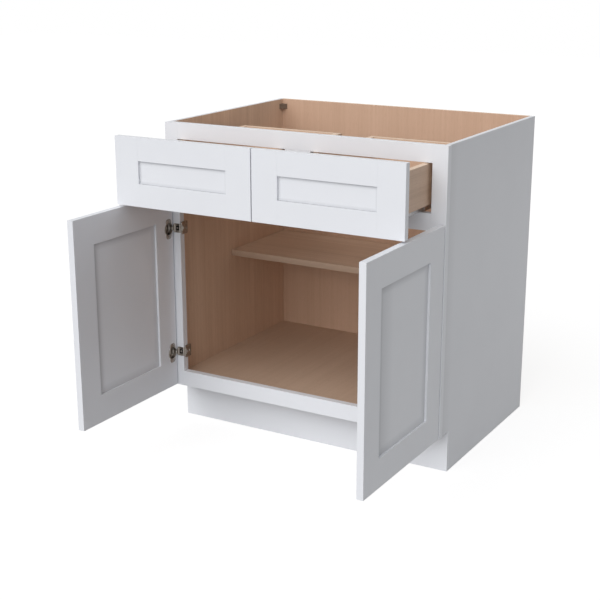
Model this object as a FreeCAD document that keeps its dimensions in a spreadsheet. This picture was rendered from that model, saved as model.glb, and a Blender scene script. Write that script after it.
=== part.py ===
import FreeCAD, Part
import os

# A framed kitchen base cabinet with two drawers over two doors, drawn as photographed:
# both drawers pulled out and both doors swung square to the front.
# X runs to the right, -Y faces the room, +Z is up, and z = 0 is the floor.

doc = FreeCAD.newDocument("BaseCabinet")
sheet = doc.addObject("Spreadsheet::Sheet", "Sizes")

# Every size in millimetres; each alias is read by the shapes below.
SIZES = {
    "carcass_wide": 838.2,
    "carcass_high": 876.3,
    "carcass_deep": 609.6,
    "panel_thick": 12.7,
    "toe_high": 114.3,
    "toe_deep": 76.2,
    "frame_thick": 19.05,
    "frame_overhang": 3.175,
    "stile_wide": 38.1,
    "rail_wide": 44.45,
    "mullion_wide": 76.2,
    "floor_drop": 12.7,
    "front_thick": 18.0,
    "front_gap": 3.0,
    "side_reveal": 1.6,
    "middle_gap": 3.2,
    "low_reveal": 3.0,
    "door_tall": 564.0,
    "fronts_gap": 5.6,
    "drawer_tall": 181.5,
    "top_reveal_least": 3.0,
    "door_frame_wide": 76.2,
    "drawer_stile_wide": 73.0,
    "drawer_rail_wide": 61.0,
    "centre_panel_thick": 6.0,
    "centre_panel_tongue": 9.0,
    "door_open_inset": 16.1,
    "door_edge_gap": 5.0,
    "drawer_pull": 203.0,
    "box_long": 533.0,
    "box_thick": 16.0,
    "box_high": 103.35,
    "box_side_gap": 9.0,
    "box_top_gap": 2.5,
    "box_floor_thick": 6.0,
    "box_floor_lift": 12.0,
    "box_groove": 5.0,
    "slide_long": 530.0,
    "slide_moving_long": 490.0,
    "slide_wide": 30.0,
    "slide_sheet": 1.5,
    "slide_play": 0.5,
    "slide_wall": 13.0,
    "slide_setback": 16.0,
    "slide_tongue": 12.0,
    "slide_offset": 0.5,
    "bracket_wide": 36.0,
    "bracket_high": 18.0,
    "bracket_least": 20.0,
    "shelf_deep": 302.0,
    "shelf_thick": 18.0,
    "shelf_low": 436.0,
    "shelf_play": 1.0,
    "shelf_pin_radius": 2.5,
    "shelf_pin_in": 9.0,
    "shelf_pin_tab": 10.0,
    "shelf_pin_tab_high": 4.0,
    "shelf_pin_front": 40.0,
    "shelf_pin_back": 250.0,
    "brace_leg": 18.0,
    "brace_high": 16.0,
    "brace_drop": 14.5,
    "brace_hole_radius": 2.25,
    "brace_hole_in": 6.0,
    "hinge_end": 100.0,
    "cup_radius": 17.5,
    "cup_deep": 11.9,
    "cup_wall": 0.8,
    "cup_edge": 2.0,
    "flange_thick": 1.0,
    "flange_radius": 18.5,
    "flange_tall": 57.0,
    "flange_wide": 24.0,
    "hinge_pin_radius": 1.2,
    "hinge_pin_long": 19.2,
    "eye_radius": 2.5,
    "eye_play": 0.05,
    "eye_tall": 8.0,
    "arm_thick": 1.3,
    "arm_tall": 26.0,
    "arm_neck": 12.25,
    "plate_thick": 4.0,
    "plate_tall": 36.0,
    "plate_deep": 28.0,
    "plate_setback": 3.0,
    "screw_head_radius": 3.0,
    "screw_head_high": 0.8,
    "screw_slot_wide": 0.8,
    "flange_screw_apart": 45.0,
    "plate_screw_back": 11.0,
    "plate_cam_back": 23.0,
    "plate_screw_radius": 4.0,
    "plate_screw_high": 1.6,
}
for row, (alias, value) in enumerate(SIZES.items(), start=1):
    sheet.set("A%d" % row, alias)
    sheet.set("B%d" % row, str(value))
    sheet.setAlias("B%d" % row, alias)
doc.recompute()


def size(alias):
    """Returns the expression that reads one size of the sheet."""
    return "Sizes." + alias


def total(*terms):
    """Returns the expression for a sum."""
    return "(" + " + ".join("(%s)" % term for term in terms) + ")"


def less(first, *others):
    """Returns the expression for a difference."""
    return "((%s)%s)" % (first, "".join(" - (%s)" % other for other in others))


def half(term):
    """Returns the expression for half of a term."""
    return "((%s) / 2)" % term


def twice(term):
    """Returns the expression for double a term."""
    return "(2 * (%s))" % term


def larger(first, second):
    """Returns the expression for the larger of two terms."""
    return "max(%s; %s)" % (first, second)


def negative(term):
    """Returns the expression for a term with its sign turned."""
    return "(-(%s))" % term


def block(name, x_span, y_span, z_span):
    """Adds a rectangular block between three pairs of limits."""
    part = doc.addObject("Part::Box", name)
    for prop, axis, span in (("Length", "x", x_span), ("Width", "y", y_span), ("Height", "z", z_span)):
        part.setExpression(prop, less(span[1], span[0]))
        part.setExpression("Placement.Base." + axis, span[0])
    return part


QUARTER_TURN = 90.0
TURNS = {
    "x": FreeCAD.Rotation(FreeCAD.Vector(0, 1, 0), QUARTER_TURN),
    "y": FreeCAD.Rotation(FreeCAD.Vector(1, 0, 0), -QUARTER_TURN),
    "z": FreeCAD.Rotation(),
}


def rod(name, axis, radius, start, length):
    """Adds a cylinder from its start point along one axis."""
    part = doc.addObject("Part::Cylinder", name)
    part.Placement = FreeCAD.Placement(FreeCAD.Vector(0, 0, 0), TURNS[axis])
    part.setExpression("Radius", radius)
    part.setExpression("Height", length)
    for letter, term in zip("xyz", start):
        part.setExpression("Placement.Base." + letter, term)
    return part


def join(name, parts):
    """Adds the union of several shapes."""
    part = doc.addObject("Part::MultiFuse", name)
    part.Shapes = parts
    part.Refine = True
    return part


def take(name, base, tools):
    """Adds a shape with one or more others cut away."""
    part = doc.addObject("Part::Cut", name)
    part.Base = base
    part.Tool = tools[0] if len(tools) == 1 else join(name + "_tools", tools)
    part.Refine = True
    return part


nodes = []


def keep(name, part):
    """Names a finished shape as one node of the assembly."""
    part.Label = name
    nodes.append(part)
    return part


def group(name, parts):
    """Keeps several separate solids of the same kind as one node."""
    part = doc.addObject("Part::Compound", name)
    part.Links = parts
    return keep(name, part)


SIDES = {"left": -1, "right": 1}


def across(side, near, far):
    """Returns the X limits of a span given outward from the middle, on one side."""
    if SIDES[side] < 0:
        return negative(far), negative(near)
    return near, far


def at(side, outward):
    """Returns the X place of a point given outward from the middle, on one side."""
    return negative(outward) if SIDES[side] < 0 else outward


# Main lines of the cabinet
HALF_WIDE = half(size("carcass_wide"))
FRONT_WIDE = half(less(size("carcass_wide"), twice(size("side_reveal")), size("middle_gap")))
DOOR_REACH = total(size("door_edge_gap"), FRONT_WIDE)
# The carcass is as deep as its size says, or deeper where longer slides and their brackets need it.
SLIDES_NEED = total(size("slide_setback"), size("slide_long"), size("bracket_least"), size("panel_thick"))
DEPTH = larger(size("carcass_deep"), SLIDES_NEED)
FRONT = half(less(DOOR_REACH, DEPTH))
BACK = total(FRONT, DEPTH)
FRAME_BACK = total(FRONT, size("frame_thick"))
BACK_INSIDE = less(BACK, size("panel_thick"))
INSIDE = less(HALF_WIDE, size("panel_thick"))
OPENING = less(HALF_WIDE, size("stile_wide"))
# The face frame stands out a little past the side panels, so that neighbouring frames meet first.
FRAME_OUT = total(HALF_WIDE, size("frame_overhang"))
LOW_RAIL_TOP = total(size("toe_high"), size("rail_wide"))
FLOOR_TOP = less(LOW_RAIL_TOP, size("floor_drop"))
FLOOR_LOW = less(FLOOR_TOP, size("panel_thick"))
DOOR_LOW = total(size("toe_high"), size("low_reveal"))
DOOR_TOP = total(DOOR_LOW, size("door_tall"))
DRAWER_LOW = total(DOOR_TOP, size("fronts_gap"))
DRAWER_TOP = total(DRAWER_LOW, size("drawer_tall"))
# The carcass is as high as its size says, or higher where taller fronts need it.
TOP = larger(size("carcass_high"), total(DRAWER_TOP, size("top_reveal_least")))
TOP_RAIL_LOW = less(TOP, size("rail_wide"))
DRAWER_RAIL_MIDDLE = total(DOOR_TOP, half(size("fronts_gap")))
DRAWER_RAIL_LOW = less(DRAWER_RAIL_MIDDLE, half(size("rail_wide")))
DRAWER_RAIL_TOP = total(DRAWER_RAIL_MIDDLE, half(size("rail_wide")))
HALF_MULLION = half(size("mullion_wide"))


# Carcass panels
TOE_BOARD_BACK = total(FRONT, size("toe_deep"))
TOE_BOARD_FRONT = less(TOE_BOARD_BACK, size("panel_thick"))
SHELF_BACK = less(BACK_INSIDE, size("shelf_play"))
SHELF_FRONT = less(SHELF_BACK, size("shelf_deep"))
PIN_PLACES = [total(SHELF_FRONT, size(alias)) for alias in ("shelf_pin_front", "shelf_pin_back")]
PIN_MIDDLE = less(size("shelf_low"), size("shelf_pin_radius"))

shelf_pins = []
for side in SIDES:
    panel = block(side + "_panel_blank", across(side, INSIDE, HALF_WIDE), (FRAME_BACK, BACK), ("0", TOP))
    notch = block(side + "_toe_notch", across(side, INSIDE, HALF_WIDE), (FRAME_BACK, TOE_BOARD_BACK),
                  ("0", size("toe_high")))
    tools = [notch]
    for number, place in enumerate(PIN_PLACES):
        name = "%s_pin_%d" % (side, number)
        stub_low = across(side, less(INSIDE, size("shelf_pin_tab")), total(INSIDE, size("shelf_pin_in")))[0]
        stub_long = total(size("shelf_pin_tab"), size("shelf_pin_in"))
        spot = (stub_low, place, PIN_MIDDLE)
        tools.append(rod(name + "_hole", "x", size("shelf_pin_radius"), spot, stub_long))
        stub = rod(name + "_stub", "x", size("shelf_pin_radius"), spot, stub_long)
        tab = block(name + "_tab", across(side, less(INSIDE, size("shelf_pin_tab")), INSIDE),
                    (less(place, twice(size("shelf_pin_radius"))), total(place, twice(size("shelf_pin_radius")))),
                    (less(size("shelf_low"), size("shelf_pin_tab_high")), size("shelf_low")))
        shelf_pins.append(join(name, [stub, tab]))
    keep(side + "_side_panel", take(side + "_side_panel", panel, tools))

keep("back_panel", block("back_panel", (negative(INSIDE), INSIDE), (BACK_INSIDE, BACK), ("0", TOP)))
keep("bottom_panel", block("bottom_panel", (negative(INSIDE), INSIDE), (FRAME_BACK, BACK_INSIDE),
                           (FLOOR_LOW, FLOOR_TOP)))
toe_board = block("toe_board", (negative(HALF_WIDE), HALF_WIDE), (TOE_BOARD_FRONT, TOE_BOARD_BACK),
                  ("0", size("toe_high")))
toe_board_upper = block("toe_board_upper", (negative(INSIDE), INSIDE), (TOE_BOARD_FRONT, TOE_BOARD_BACK),
                        (size("toe_high"), FLOOR_LOW))
keep("toe_kick_board", join("toe_kick_board", [toe_board, toe_board_upper]))
SHELF_HALF = less(INSIDE, size("shelf_play"))
keep("half_shelf", block("half_shelf", (negative(SHELF_HALF), SHELF_HALF), (SHELF_FRONT, SHELF_BACK),
                         (size("shelf_low"), total(size("shelf_low"), size("shelf_thick")))))
group("shelf_pins", shelf_pins)

# Face frame
for side in SIDES:
    keep(side + "_stile", block(side + "_stile", across(side, OPENING, FRAME_OUT), (FRONT, FRAME_BACK),
                                (size("toe_high"), TOP)))
for name, low, high in (
    ("top_rail", TOP_RAIL_LOW, TOP),
    ("drawer_rail", DRAWER_RAIL_LOW, DRAWER_RAIL_TOP),
    ("bottom_rail", size("toe_high"), LOW_RAIL_TOP),
):
    keep(name, block(name, (negative(OPENING), OPENING), (FRONT, FRAME_BACK), (low, high)))
keep("drawer_mullion", block("drawer_mullion", (negative(HALF_MULLION), HALF_MULLION), (FRONT, FRAME_BACK),
                             (DRAWER_RAIL_TOP, TOP_RAIL_LOW)))

# Corner braces under the top edge, each a wedge with an upright screw hole
BRACE_TOP = less(TOP, size("brace_drop"))
BRACE_LOW = less(BRACE_TOP, size("brace_high"))
braces = []
for side in SIDES:
    for end in ("front", "rear"):
        name = "%s_%s_brace" % (side, end)
        wedge = doc.addObject("Part::Wedge", name + "_wedge")
        for prop in ("Xmin", "Ymin", "Zmin", "X2min", "Z2min", "X2max"):
            setattr(wedge, prop, 0)
        wedge.setExpression("Xmax", size("brace_leg"))
        wedge.setExpression("Ymax", size("brace_leg"))
        wedge.setExpression("Zmax", size("brace_high"))
        wedge.setExpression("Z2max", size("brace_high"))
        quarter = {("left", "front"): 0, ("right", "front"): 1, ("right", "rear"): 2, ("left", "rear"): 3}
        turn = FreeCAD.Rotation(FreeCAD.Vector(0, 0, 1), QUARTER_TURN * quarter[(side, end)])
        wedge.Placement = FreeCAD.Placement(FreeCAD.Vector(0, 0, 0), turn)
        corner_y = FRAME_BACK if end == "front" else BACK_INSIDE
        hole_y = total(corner_y, size("brace_hole_in")) if end == "front" else less(corner_y, size("brace_hole_in"))
        for letter, term in zip("xyz", (at(side, INSIDE), corner_y, BRACE_LOW)):
            wedge.setExpression("Placement.Base." + letter, term)
        hole = rod(name + "_hole", "z", size("brace_hole_radius"),
                   (at(side, less(INSIDE, size("brace_hole_in"))), hole_y, BRACE_LOW), size("brace_high"))
        braces.append(take(name, wedge, [hole]))
group("corner_braces", braces)


# Drawers: the front stands at the pull from its shut place
DRAWER_BACK_FACE = less(FRONT, size("front_gap"), size("drawer_pull"))
DRAWER_FACE = less(DRAWER_BACK_FACE, size("front_thick"))
BOX_TOP = less(TOP_RAIL_LOW, size("box_top_gap"))
BOX_LOW = less(BOX_TOP, size("box_high"))
BOX_BACK = total(DRAWER_BACK_FACE, size("box_long"))
BOX_FLOOR_LOW = total(BOX_LOW, size("box_floor_lift"))
BOX_FLOOR_TOP = total(BOX_FLOOR_LOW, size("box_floor_thick"))
BOX_NEAR = total(HALF_MULLION, size("box_side_gap"))
BOX_FAR = less(OPENING, size("box_side_gap"))
BOX_NEAR_INSIDE = total(BOX_NEAR, size("box_thick"))
BOX_FAR_INSIDE = less(BOX_FAR, size("box_thick"))
FRONT_NEAR = half(size("middle_gap"))
FRONT_FAR = less(HALF_WIDE, size("side_reveal"))
CENTRE_PANEL_SETBACK = half(less(size("front_thick"), size("centre_panel_thick")))


def framed_front(prefix, spans, frame, names, bores):
    """Builds the five pieces of a framed front or door: two stiles, two rails and a centre panel.

    spans gives the limits by axis letter: the width axis, the thickness axis and z.
    frame gives the widths of stiles and rails. names gives the low and high stile's names.
    bores maps a piece's name to shapes that are cut out of it.
    """
    width_axis, thick_axis = spans["axes"]
    low, high = spans[width_axis]
    inner_low, inner_high = total(low, frame[0]), less(high, frame[0])
    z_low, z_high = spans["z"]
    inner_z_low, inner_z_high = total(z_low, frame[1]), less(z_high, frame[1])
    thick = spans[thick_axis]
    panel_thick = (total(thick[0], CENTRE_PANEL_SETBACK), less(thick[1], CENTRE_PANEL_SETBACK))
    tongue = size("centre_panel_tongue")
    panel_limits = {
        width_axis: (less(inner_low, tongue), total(inner_high, tongue)),
        thick_axis: panel_thick,
        "z": (less(inner_z_low, tongue), total(inner_z_high, tongue)),
    }

    def limits_block(name, limits):
        return block(name, limits["x"], limits["y"], limits["z"])

    pieces = {
        names[0]: {width_axis: (low, inner_low), "z": (z_low, z_high)},
        names[1]: {width_axis: (inner_high, high), "z": (z_low, z_high)},
        "bottom_rail": {width_axis: (inner_low, inner_high), "z": (z_low, inner_z_low)},
        "top_rail": {width_axis: (inner_low, inner_high), "z": (inner_z_high, z_high)},
    }
    for piece, limits in pieces.items():
        limits[thick_axis] = thick
        name = "%s_%s" % (prefix, piece)
        blank = limits_block(name + "_blank", limits)
        groove = limits_block(name + "_groove", panel_limits)
        keep(name, take(name, blank, [groove] + bores.get(piece, [])))
    keep(prefix + "_panel", limits_block(prefix + "_panel", panel_limits))


# Undermount slides: a fixed channel, a middle tube and a drawer channel, nested with a little play
SLIDE_HALF = half(size("slide_wide"))
TUBE_HALF = less(SLIDE_HALF, size("slide_sheet"), size("slide_play"))
SLIDE_LOW = DRAWER_RAIL_TOP
SLIDE_TOP = BOX_FLOOR_LOW
SLIDE_FRONT = total(FRONT, size("slide_setback"))
SLIDE_BACK = total(SLIDE_FRONT, size("slide_long"))
TUBE_LOW = total(SLIDE_LOW, size("slide_sheet"), size("slide_play"))
TUBE_TOP = less(SLIDE_TOP, size("slide_sheet"), size("slide_play"))
TUBE_FRONT = less(SLIDE_FRONT, half(size("drawer_pull")))
TUBE_BACK = total(TUBE_FRONT, size("slide_moving_long"))
RUNNER_FRONT = less(SLIDE_FRONT, size("drawer_pull"))
RUNNER_BACK = total(RUNNER_FRONT, size("slide_moving_long"))


def around(middle, reach):
    """Returns the limits of a span centred on a middle."""
    return less(middle, reach), total(middle, reach)


fixed_rails = []
rear_brackets = []
for side in SIDES:
    # The drawer box: sides, front, back and a floor held in grooves
    box_y = (DRAWER_BACK_FACE, BOX_BACK)
    groove_near = less(BOX_NEAR_INSIDE, size("box_groove"))
    groove_far = total(BOX_FAR_INSIDE, size("box_groove"))
    floor_z = (BOX_FLOOR_LOW, BOX_FLOOR_TOP)
    box_front_y = (DRAWER_BACK_FACE, total(DRAWER_BACK_FACE, size("box_thick")))
    for piece, span in (
        ("box_inner_side", (BOX_NEAR, BOX_NEAR_INSIDE)),
        ("box_outer_side", (BOX_FAR_INSIDE, BOX_FAR)),
    ):
        name = "%s_%s" % (side, piece)
        blank = block(name + "_blank", across(side, *span), box_y, (BOX_LOW, BOX_TOP))
        groove = block(name + "_groove", across(side, groove_near, groove_far), box_y, floor_z)
        keep(name, take(name, blank, [groove]))
    inside = across(side, BOX_NEAR_INSIDE, BOX_FAR_INSIDE)
    keep(side + "_box_front", block(side + "_box_front", inside, box_front_y, (BOX_LOW, BOX_TOP)))
    keep(side + "_box_back", block(side + "_box_back", inside, (less(BOX_BACK, size("box_thick")), BOX_BACK),
                                   (BOX_FLOOR_TOP, BOX_TOP)))
    keep(side + "_box_floor", block(side + "_box_floor", across(side, groove_near, groove_far),
                                    (box_front_y[1], BOX_BACK), floor_z))

    # The shaker front on the drawer box
    front_spans = {"axes": ("x", "y"), "x": across(side, FRONT_NEAR, FRONT_FAR),
                   "y": (DRAWER_FACE, DRAWER_BACK_FACE), "z": (DRAWER_LOW, DRAWER_TOP)}
    framed_front(side + "_drawer_front", front_spans, (size("drawer_stile_wide"), size("drawer_rail_wide")),
                 ("left_stile", "right_stile"), {})

    # The slides under this drawer
    tubes = []
    runners = []
    for edge, middle in (
        ("inner", total(BOX_NEAR_INSIDE, size("slide_offset"), SLIDE_HALF)),
        ("outer", less(BOX_FAR_INSIDE, size("slide_offset"), SLIDE_HALF)),
    ):
        name = "%s_%s_slide" % (side, edge)
        place = at(side, middle)
        outer_x = around(place, SLIDE_HALF)
        hollow_x = around(place, less(SLIDE_HALF, size("slide_sheet")))
        rail_y = (SLIDE_FRONT, SLIDE_BACK)
        rail_top = total(SLIDE_LOW, size("slide_wall"))
        channel = block(name + "_channel", outer_x, rail_y, (SLIDE_LOW, rail_top))
        channel_hollow = block(name + "_channel_hollow", hollow_x, rail_y,
                               (total(SLIDE_LOW, size("slide_sheet")), rail_top))
        tongue = block(name + "_tongue", outer_x, (less(SLIDE_FRONT, size("slide_tongue")), SLIDE_FRONT),
                       (SLIDE_LOW, total(SLIDE_LOW, size("slide_sheet"))))
        fixed_rails.append(join(name + "_rail", [take(name + "_open", channel, [channel_hollow]), tongue]))
        tube = block(name + "_tube_blank", around(place, TUBE_HALF), (TUBE_FRONT, TUBE_BACK),
                     (TUBE_LOW, TUBE_TOP))
        tube_hollow = block(name + "_tube_hollow", around(place, less(TUBE_HALF, size("slide_sheet"))),
                            (TUBE_FRONT, TUBE_BACK),
                            (total(TUBE_LOW, size("slide_sheet")), less(TUBE_TOP, size("slide_sheet"))))
        tubes.append(take(name + "_tube", tube, [tube_hollow]))
        runner_low = less(SLIDE_TOP, size("slide_wall"))
        runner = block(name + "_runner_blank", outer_x, (RUNNER_FRONT, RUNNER_BACK), (runner_low, SLIDE_TOP))
        runner_hollow = block(name + "_runner_hollow", hollow_x, (RUNNER_FRONT, RUNNER_BACK),
                              (runner_low, less(SLIDE_TOP, size("slide_sheet"))))
        runners.append(take(name + "_runner", runner, [runner_hollow]))
        rear_brackets.append(block(name + "_bracket", around(place, half(size("bracket_wide"))),
                                   (SLIDE_BACK, BACK_INSIDE), (SLIDE_LOW, total(SLIDE_LOW, size("bracket_high")))))
    group(side + "_slide_middle_rails", tubes)
    group(side + "_slide_drawer_rails", runners)
group("slide_cabinet_rails", fixed_rails)
group("slide_rear_brackets", rear_brackets)


# Doors, swung square to the front, with their cup hinges
DOOR_INNER = less(HALF_WIDE, size("door_open_inset"))
DOOR_OUTER = total(DOOR_INNER, size("front_thick"))
DOOR_HINGE_EDGE = less(FRONT, size("door_edge_gap"))
DOOR_FREE_EDGE = less(DOOR_HINGE_EDGE, FRONT_WIDE)
HINGE_HEIGHTS = {"low": total(DOOR_LOW, size("hinge_end")), "high": less(DOOR_TOP, size("hinge_end"))}
PIVOT_IN = half(less(total(size("door_open_inset"), size("front_gap"), size("side_reveal")), size("door_edge_gap")))
PIVOT_AHEAD = half(less(total(size("door_edge_gap"), size("door_open_inset"), size("front_gap")),
                        size("side_reveal")))
PIVOT_OUT = less(HALF_WIDE, PIVOT_IN)
PIVOT_Y = less(FRONT, PIVOT_AHEAD)
CUP_MIDDLE_Y = less(DOOR_HINGE_EDGE, size("cup_edge"), size("cup_radius"))
NECK_NEAR = less(PIVOT_OUT, size("arm_neck"))
NECK_FAR = total(NECK_NEAR, size("arm_thick"))
WRAP_NEAR = less(OPENING, size("arm_thick"))
PLATE_NEAR = less(WRAP_NEAR, size("plate_thick"))


def headed(name, side, radius, high, seat, spot_y, spot_z):
    """Builds a screw head on a face that looks to the middle, with a straight driver slot."""
    span = across(side, less(seat, high), seat)
    head = rod(name + "_head", "x", radius, (span[0], spot_y, spot_z), high)
    slot = block(name + "_slot", across(side, less(seat, high), less(seat, half(high))),
                 around(spot_y, radius), around(spot_z, half(size("screw_slot_wide"))))
    return take(name, head, [slot])


arms = []
plates = []
plate_screws = []
for side in SIDES:
    cups = []
    pins = []
    cup_screws = []
    cup_bores = []
    for level, height in HINGE_HEIGHTS.items():
        name = "%s_%s_hinge" % (side, level)
        cup_x = across(side, DOOR_INNER, total(DOOR_INNER, size("cup_deep")))
        inner_deep = less(size("cup_deep"), size("cup_wall"))
        bore_start = (cup_x[0], CUP_MIDDLE_Y, height)
        cup_bores.append(rod(name + "_bore", "x", size("cup_radius"), bore_start, size("cup_deep")))

        # Cup with its flange on the door's inner face, and the pin across it
        shell = rod(name + "_shell", "x", size("cup_radius"), bore_start, size("cup_deep"))
        flange_x = across(side, less(DOOR_INNER, size("flange_thick")), DOOR_INNER)
        ring = rod(name + "_ring", "x", size("flange_radius"), (flange_x[0], CUP_MIDDLE_Y, height),
                   size("flange_thick"))
        wings = block(name + "_wings", flange_x, around(CUP_MIDDLE_Y, half(size("flange_wide"))),
                      around(height, half(size("flange_tall"))))
        mouth_x = across(side, less(DOOR_INNER, size("flange_thick")), total(DOOR_INNER, inner_deep))
        mouth = rod(name + "_mouth", "x", less(size("cup_radius"), size("cup_wall")),
                    (mouth_x[0], CUP_MIDDLE_Y, height), total(size("flange_thick"), inner_deep))
        pin_start = (at(side, PIVOT_OUT), PIVOT_Y, less(height, half(size("hinge_pin_long"))))
        pin_space = rod(name + "_pin_space", "z", size("hinge_pin_radius"), pin_start, size("hinge_pin_long"))
        cups.append(take(name + "_cup", join(name + "_cup_blank", [shell, ring, wings]), [mouth, pin_space]))
        pins.append(rod(name + "_pin", "z", size("hinge_pin_radius"), pin_start, size("hinge_pin_long")))
        for number, way in enumerate((less, total)):
            spot_z = way(height, half(size("flange_screw_apart")))
            cup_screws.append(headed("%s_screw_%d" % (name, number), side, size("screw_head_radius"),
                                     size("screw_head_high"), less(DOOR_INNER, size("flange_thick")),
                                     CUP_MIDDLE_Y, spot_z))

        # Bent arm from the eye on the pin, round the stile's front and inner edge
        eye_z = around(height, half(size("eye_tall")))
        arm_z = around(height, half(size("arm_tall")))
        arm_y = around(PIVOT_Y, half(size("arm_thick")))
        eye = rod(name + "_eye", "z", size("eye_radius"), (at(side, PIVOT_OUT), PIVOT_Y, eye_z[0]),
                  size("eye_tall"))
        reach = block(name + "_reach", across(side, NECK_NEAR, PIVOT_OUT), arm_y, eye_z)
        neck = block(name + "_neck", across(side, NECK_NEAR, NECK_FAR), (arm_y[0], FRONT), arm_z)
        lip = block(name + "_lip", across(side, WRAP_NEAR, NECK_FAR), (less(FRONT, size("arm_thick")), FRONT),
                    arm_z)
        wrap = block(name + "_wrap", across(side, WRAP_NEAR, OPENING), (FRONT, FRAME_BACK), arm_z)
        eye_bore = rod(name + "_eye_bore", "z", total(size("hinge_pin_radius"), size("eye_play")),
                       (at(side, PIVOT_OUT), PIVOT_Y, eye_z[0]), size("eye_tall"))
        arms.append(take(name + "_arm", join(name + "_arm_blank", [eye, reach, neck, lip, wrap]), [eye_bore]))

        # Plate on the stile's inner edge, with its screw and adjusting cam
        plate_front = total(FRONT, size("plate_setback"))
        plates.append(block(name + "_plate", across(side, PLATE_NEAR, WRAP_NEAR),
                            (plate_front, total(plate_front, size("plate_deep"))),
                            around(height, half(size("plate_tall")))))
        for alias in ("plate_screw_back", "plate_cam_back"):
            plate_screws.append(headed("%s_%s" % (name, alias), side, size("plate_screw_radius"),
                                       size("plate_screw_high"), PLATE_NEAR, total(FRONT, size(alias)), height))

    door_spans = {"axes": ("y", "x"), "y": (DOOR_FREE_EDGE, DOOR_HINGE_EDGE),
                  "x": across(side, DOOR_INNER, DOOR_OUTER), "z": (DOOR_LOW, DOOR_TOP)}
    framed_front(side + "_door", door_spans, (size("door_frame_wide"), size("door_frame_wide")),
                 ("free_stile", "hinge_stile"), {"hinge_stile": cup_bores})
    group(side + "_hinge_cups", cups)
    group(side + "_hinge_pins", pins)
    group(side + "_hinge_cup_screws", cup_screws)
group("hinge_arms", arms)
group("hinge_plates", plates)
group("hinge_plate_screws", plate_screws)

doc.recompute()

# Each shape is checked before its file is written
for part in doc.Objects:
    if "Invalid" in part.State or "Error" in part.State:
        raise RuntimeError("%s did not rebuild: %s" % (part.Name, part.State))
os.makedirs("parts", exist_ok=True)
for part in nodes:
    if not part.Shape.isValid():
        raise RuntimeError("%s has no valid shape" % part.Label)
    part.Shape.exportStep("parts/%s.step" % part.Label)
print("%d nodes written" % len(nodes))
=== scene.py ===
"""Looks of a framed kitchen base cabinet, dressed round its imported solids."""

import logging
import math
from collections.abc import Callable, Iterable, Sequence
from dataclasses import dataclass
from enum import Enum

import bmesh
import bpy
from mathutils import Matrix, Vector


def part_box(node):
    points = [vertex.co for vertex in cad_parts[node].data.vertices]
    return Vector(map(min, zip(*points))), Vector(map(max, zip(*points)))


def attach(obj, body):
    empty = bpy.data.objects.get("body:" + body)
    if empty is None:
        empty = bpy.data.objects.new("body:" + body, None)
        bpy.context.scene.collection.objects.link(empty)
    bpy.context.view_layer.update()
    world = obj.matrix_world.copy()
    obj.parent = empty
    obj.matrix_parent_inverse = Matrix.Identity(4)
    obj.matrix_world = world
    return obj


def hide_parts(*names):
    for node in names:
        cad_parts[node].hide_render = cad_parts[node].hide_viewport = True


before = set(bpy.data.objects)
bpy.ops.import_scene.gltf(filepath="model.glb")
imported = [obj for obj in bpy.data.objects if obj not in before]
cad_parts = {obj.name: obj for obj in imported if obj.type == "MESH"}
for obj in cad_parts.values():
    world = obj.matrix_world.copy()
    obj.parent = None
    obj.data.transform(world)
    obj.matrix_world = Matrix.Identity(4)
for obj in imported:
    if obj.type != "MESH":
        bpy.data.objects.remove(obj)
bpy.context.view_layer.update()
LOG = logging.getLogger("base_cabinet")

Number = int | float
Colour = tuple[float, float, float]
Outline = Callable[[float], float]
Loop = tuple[Outline, float]

# The middle of the range from 0 to 1, and how strong a noise's finer layers usually are
MIDDLE = 0.5
NOISE_ROUGH = 0.5


# Choices


class Axis(Enum):
    """A direction of the shared frame."""

    ACROSS = 0
    DEPTH = 1
    UPRIGHT = 2


class Side(Enum):
    """The left or right half of the cabinet, as seen from the front."""

    LEFT = "left"
    RIGHT = "right"

    @property
    def sign(self) -> int:
        """The sign of X on this side."""
        return -1 if self is Side.LEFT else 1


class Slot(Enum):
    """The record's material slots."""

    NICKEL = "nickel"


# Shader maths


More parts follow.
